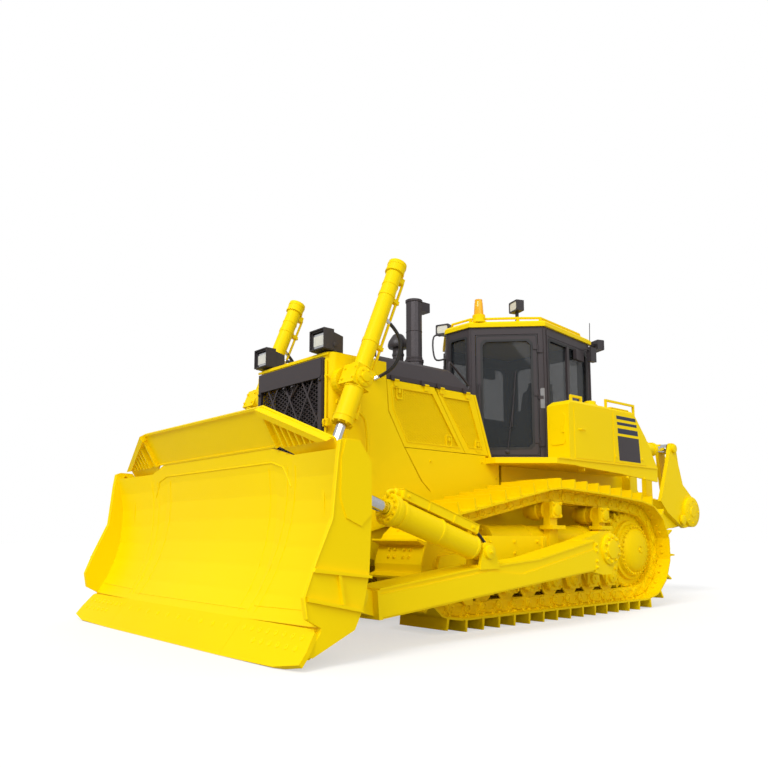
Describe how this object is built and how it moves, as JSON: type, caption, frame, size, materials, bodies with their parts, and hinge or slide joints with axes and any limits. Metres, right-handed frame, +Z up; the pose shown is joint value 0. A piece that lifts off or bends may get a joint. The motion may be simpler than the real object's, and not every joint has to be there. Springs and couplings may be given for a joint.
{
  "type": "crawler bulldozer",
  "caption": "Crawler dozer with a wide front blade on push arms, a hood with side doors, a glazed cab and a rear ripper, driven on two steel tracks.",
  "frame": {"origin": "on the ground under the middle of the machine's overall box", "axes": "the machine faces -Y, +X is its left-hand side, +Z is up"},
  "size_m": [4.06, 8.2541, 3.69],
  "materials": {
    "yellow_paint": "gloss",
    "track_steel": "satin",
    "charcoal_paint": "satin",
    "chrome_rod": "polished",
    "dark_steel": "matte",
    "cab_glass": "clear",
    "seat_fabric": "woven",
    "console_plastic": "matte",
    "amber_lens": "gloss",
    "lamp_housing": "satin",
    "engine_iron": "rough",
    "radiator_fins": "matte"
  },
  "bodies": {
    "root": {"beacon": "amber_lens", "cab_roof": "yellow_paint", "cab_shell": "charcoal_paint", "cab_windows": "cab_glass", "carrier_rollers": "track_steel", "control_consoles": "console_plastic", "cowl": "yellow_paint", "deck": "yellow_paint", "engine_block": "engine_iron", "exhaust_stack": "dark_steel", "fender_tanks": "yellow_paint", "final_drives": "yellow_paint", "front_lamps": "lamp_housing", "fuel_tank": "yellow_paint", "grille": "charcoal_paint", "handrails": "yellow_paint", "hood": "charcoal_paint", "idlers": "track_steel", "main_frame": "yellow_paint", "operator_seat": "seat_fabric", "precleaner": "dark_steel", "radiator_core": "radiator_fins", "radiator_guard": "yellow_paint", "ripper_bracket": "yellow_paint", "roller_bogies": "track_steel", "roof_lamps": "lamp_housing", "side_covers": "yellow_paint", "sprockets": "track_steel", "track_frames": "yellow_paint", "track_left": "track_steel", "track_right": "track_steel", "track_rollers": "track_steel"},
    "push_arms": {"push_arms": "yellow_paint"},
    "blade": {"moldboard": "yellow_paint", "spill_guard": "yellow_paint", "cutting_edges": "track_steel"},
    "lift_barrels": {"lift_barrels": "yellow_paint"},
    "lift_rods": {"lift_rods": "chrome_rod"},
    "tilt_barrels": {"tilt_barrels": "yellow_paint"},
    "tilt_rods": {"tilt_rods": "chrome_rod"},
    "ripper_arms": {"ripper_arms": "yellow_paint"},
    "ripper_pivot": {"ripper_pivot_pins": "chrome_rod"},
    "ripper_carriage": {"ripper_beam": "yellow_paint", "ripper_shank": "yellow_paint"},
    "ripper_lift_barrels": {"ripper_lift_barrels": "yellow_paint"},
    "ripper_lift_rods": {"ripper_lift_rods": "chrome_rod"},
    "ripper_tilt_barrels": {"ripper_tilt_barrels": "yellow_paint"},
    "ripper_tilt_rods": {"ripper_tilt_rods": "chrome_rod"},
    "cab_door_left": {"cab_door_left": "charcoal_paint", "cab_door_glass_left": "cab_glass"},
    "cab_door_right": {"cab_door_right": "charcoal_paint", "cab_door_glass_right": "cab_glass"},
    "engine_door_front_left": {"engine_door_front_left": "yellow_paint"},
    "engine_door_front_right": {"engine_door_front_right": "yellow_paint"},
    "engine_door_rear_left": {"engine_door_rear_left": "yellow_paint"},
    "engine_door_rear_right": {"engine_door_rear_right": "yellow_paint"}
  },
  "joints": [
    {"name": "blade_lift", "type": "hinge", "parent": "root", "child": "push_arms", "pos_m": [0, 0.218, 0.715], "axis": [-1, 0, 0], "range_deg": [-8, 16]},
    {"name": "blade_pitch", "type": "hinge", "parent": "push_arms", "child": "blade", "pos_m": [0, -3.45, 0.43], "axis": [1, 0, 0], "range_deg": [-5, 5]},
    {"name": "lift_barrel_swing", "type": "hinge", "parent": "root", "child": "lift_barrels", "pos_m": [0, -2.662, 2.287], "axis": [-1, 0, 0], "range_deg": [-7.03, 14.06]},
    {"name": "lift_rod_slide", "type": "slide", "parent": "lift_barrels", "child": "lift_rods", "axis": [0, -0.3811, -0.9245], "range_m": [-0.91479, 0.45739]},
    {"name": "tilt_barrel_swing", "type": "hinge", "parent": "push_arms", "child": "tilt_barrels", "pos_m": [0, -2.02, 0.725], "axis": [1, 0, 0], "range_deg": [-0.65, 0.65]},
    {"name": "tilt_rod_slide", "type": "slide", "parent": "tilt_barrels", "child": "tilt_rods", "axis": [0, -0.9525, 0.3045], "range_m": [-0.06261, 0.06261]},
    {"name": "ripper_lift", "type": "hinge", "parent": "root", "child": "ripper_arms", "pos_m": [0, 2.56, 1], "axis": [1, 0, 0], "range_deg": [-50, 20]},
    {"name": "ripper_level", "type": "hinge", "parent": "ripper_arms", "child": "ripper_pivot", "pos_m": [0, 3.64, 1.08], "axis": [1, 0, 0], "range_deg": [-20.04, 50.1]},
    {"name": "ripper_pitch", "type": "hinge", "parent": "ripper_pivot", "child": "ripper_carriage", "pos_m": [0, 3.64, 1.08], "axis": [1, 0, 0], "range_deg": [-8, 8]},
    {"name": "ripper_lift_barrel_swing", "type": "hinge", "parent": "root", "child": "ripper_lift_barrels", "pos_m": [0, 2.47, 1.9], "axis": [1, 0, 0], "range_deg": [-22.45, 8.98]},
    {"name": "ripper_lift_rod_slide", "type": "slide", "parent": "ripper_lift_barrels", "child": "ripper_lift_rods", "axis": [0, 0.7358, -0.6772], "range_m": [-0.17913, 0.44782]},
    {"name": "ripper_tilt_barrel_swing", "type": "hinge", "parent": "root", "child": "ripper_tilt_barrels", "pos_m": [0, 2.39, 2.04], "axis": [1, 0, 0], "range_deg": [-50.1, 20.04]},
    {"name": "ripper_tilt_rod_slide", "type": "slide", "parent": "ripper_tilt_barrels", "child": "ripper_tilt_rods", "axis": [0, 0.9973, 0.0739], "range_m": [-0.14508, 0.14508]},
    {"name": "cab_door_left_hinge", "type": "hinge", "parent": "root", "child": "cab_door_left", "pos_m": [0.77137, 0.1543, 2.5], "axis": [0, 0, 1], "range_deg": [0, 95]},
    {"name": "cab_door_right_hinge", "type": "hinge", "parent": "root", "child": "cab_door_right", "pos_m": [-0.77137, 0.1543, 2.5], "axis": [0, 0, -1], "range_deg": [0, 95]},
    {"name": "engine_door_front_left_hinge", "type": "hinge", "parent": "root", "child": "engine_door_front_left", "pos_m": [0.634, -1.78, 2.402], "axis": [0, -1, 0], "range_deg": [0, 80]},
    {"name": "engine_door_front_right_hinge", "type": "hinge", "parent": "root", "child": "engine_door_front_right", "pos_m": [-0.634, -1.78, 2.402], "axis": [0, 1, 0], "range_deg": [0, 80]},
    {"name": "engine_door_rear_left_hinge", "type": "hinge", "parent": "root", "child": "engine_door_rear_left", "pos_m": [0.634, -1.12, 2.402], "axis": [0, -1, 0], "range_deg": [0, 80]},
    {"name": "engine_door_rear_right_hinge", "type": "hinge", "parent": "root", "child": "engine_door_rear_right", "pos_m": [-0.634, -1.12, 2.402], "axis": [0, 1, 0], "range_deg": [0, 80]}
  ],
  "couplings": [
    {"joint": "lift_barrel_swing", "follows": "blade_lift", "ratio": 0.87689},
    {"joint": "lift_rod_slide", "follows": "blade_lift", "m_per_rad": -3.2693},
    {"joint": "tilt_barrel_swing", "follows": "blade_pitch", "ratio": 0.12893},
    {"joint": "tilt_rod_slide", "follows": "blade_pitch", "m_per_rad": 0.71606},
    {"joint": "ripper_level", "follows": "ripper_lift", "ratio": -1},
    {"joint": "ripper_lift_barrel_swing", "follows": "ripper_lift", "ratio": 0.44803},
    {"joint": "ripper_lift_rod_slide", "follows": "ripper_lift", "m_per_rad": -0.51214},
    {"joint": "ripper_tilt_barrel_swing", "follows": "ripper_lift", "ratio": 1},
    {"joint": "ripper_tilt_rod_slide", "follows": "ripper_pitch", "m_per_rad": -1.037}
  ]
}
